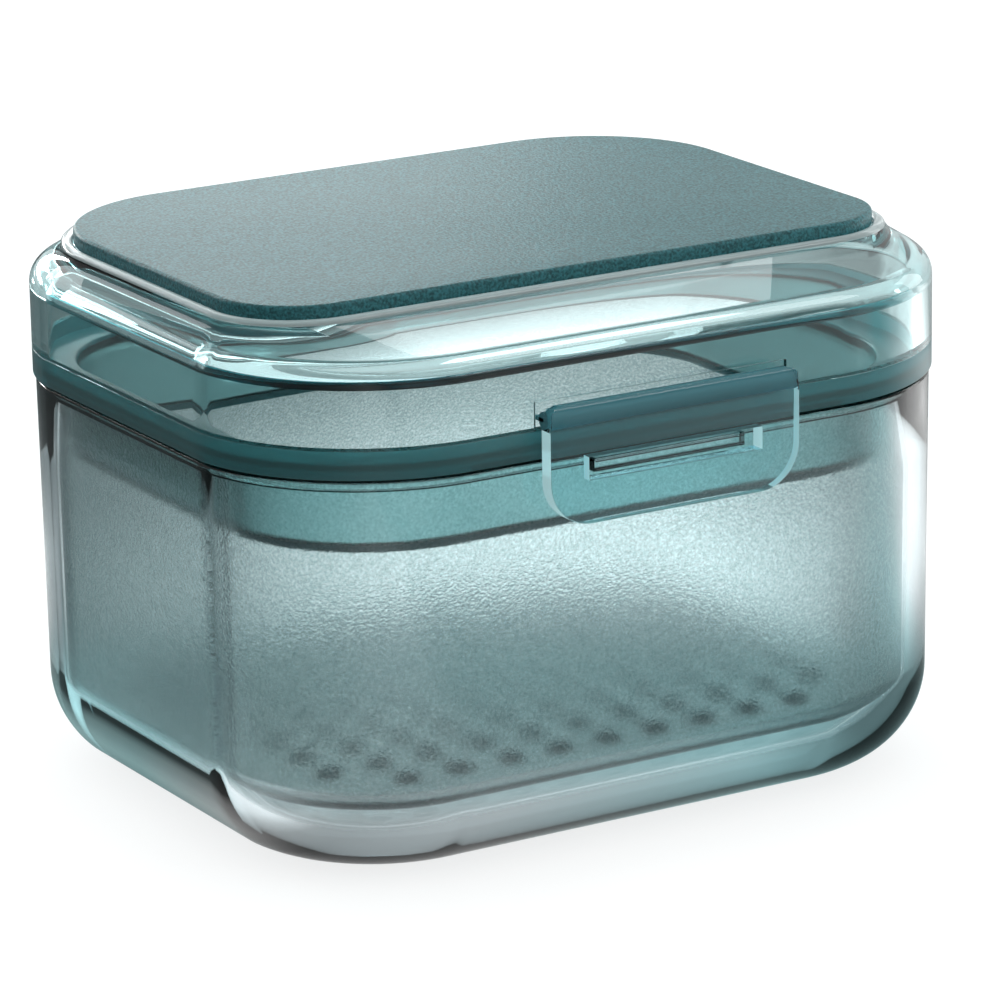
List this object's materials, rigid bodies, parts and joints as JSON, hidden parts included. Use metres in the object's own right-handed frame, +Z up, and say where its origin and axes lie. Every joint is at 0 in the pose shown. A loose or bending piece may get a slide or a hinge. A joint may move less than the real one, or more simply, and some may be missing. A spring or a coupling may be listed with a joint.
{
  "type": "denture case",
  "caption": "Clear rounded box with a lift-out perforated basket, a rear-hinged lid with a frosted top panel and coloured band, and a front clip latch.",
  "frame": {"origin": "centre of the flat base, on the table", "axes": "+X across the case to its right side, -Y towards the front with the latch, +Z up"},
  "size_m": [0.1, 0.0912, 0.0686],
  "materials": {
    "clear_plastic": "clear, polished, faint teal tint",
    "frosted_plastic": "frosted translucent teal",
    "frosted_panel": "satin, finely grained, grey-teal",
    "band_plastic": "satin dark teal",
    "seal_silicone": "soft translucent teal",
    "pin_steel": "plain stainless steel"
  },
  "bodies": {
    "base": {"tank": "clear_plastic", "basket": "frosted_plastic", "hinge_pin": "pin_steel"},
    "lid": {"lid_shell": "clear_plastic", "top_panel": "frosted_panel", "lid_frame": "band_plastic", "seal_ring": "seal_silicone"},
    "latch": {"latch": "clear_plastic"}
  },
  "joints": [
    {"name": "lid_hinge", "type": "hinge", "parent": "base", "child": "lid", "pos_m": [0, 0.0443, 0.0519], "axis": [-1, 0, 0], "range_deg": [0, 110]},
    {"name": "latch_hinge", "type": "hinge", "parent": "lid", "child": "latch", "pos_m": [0, -0.0432, 0.0554], "axis": [-1, 0, 0], "range_deg": [0, 80]}
  ]
}
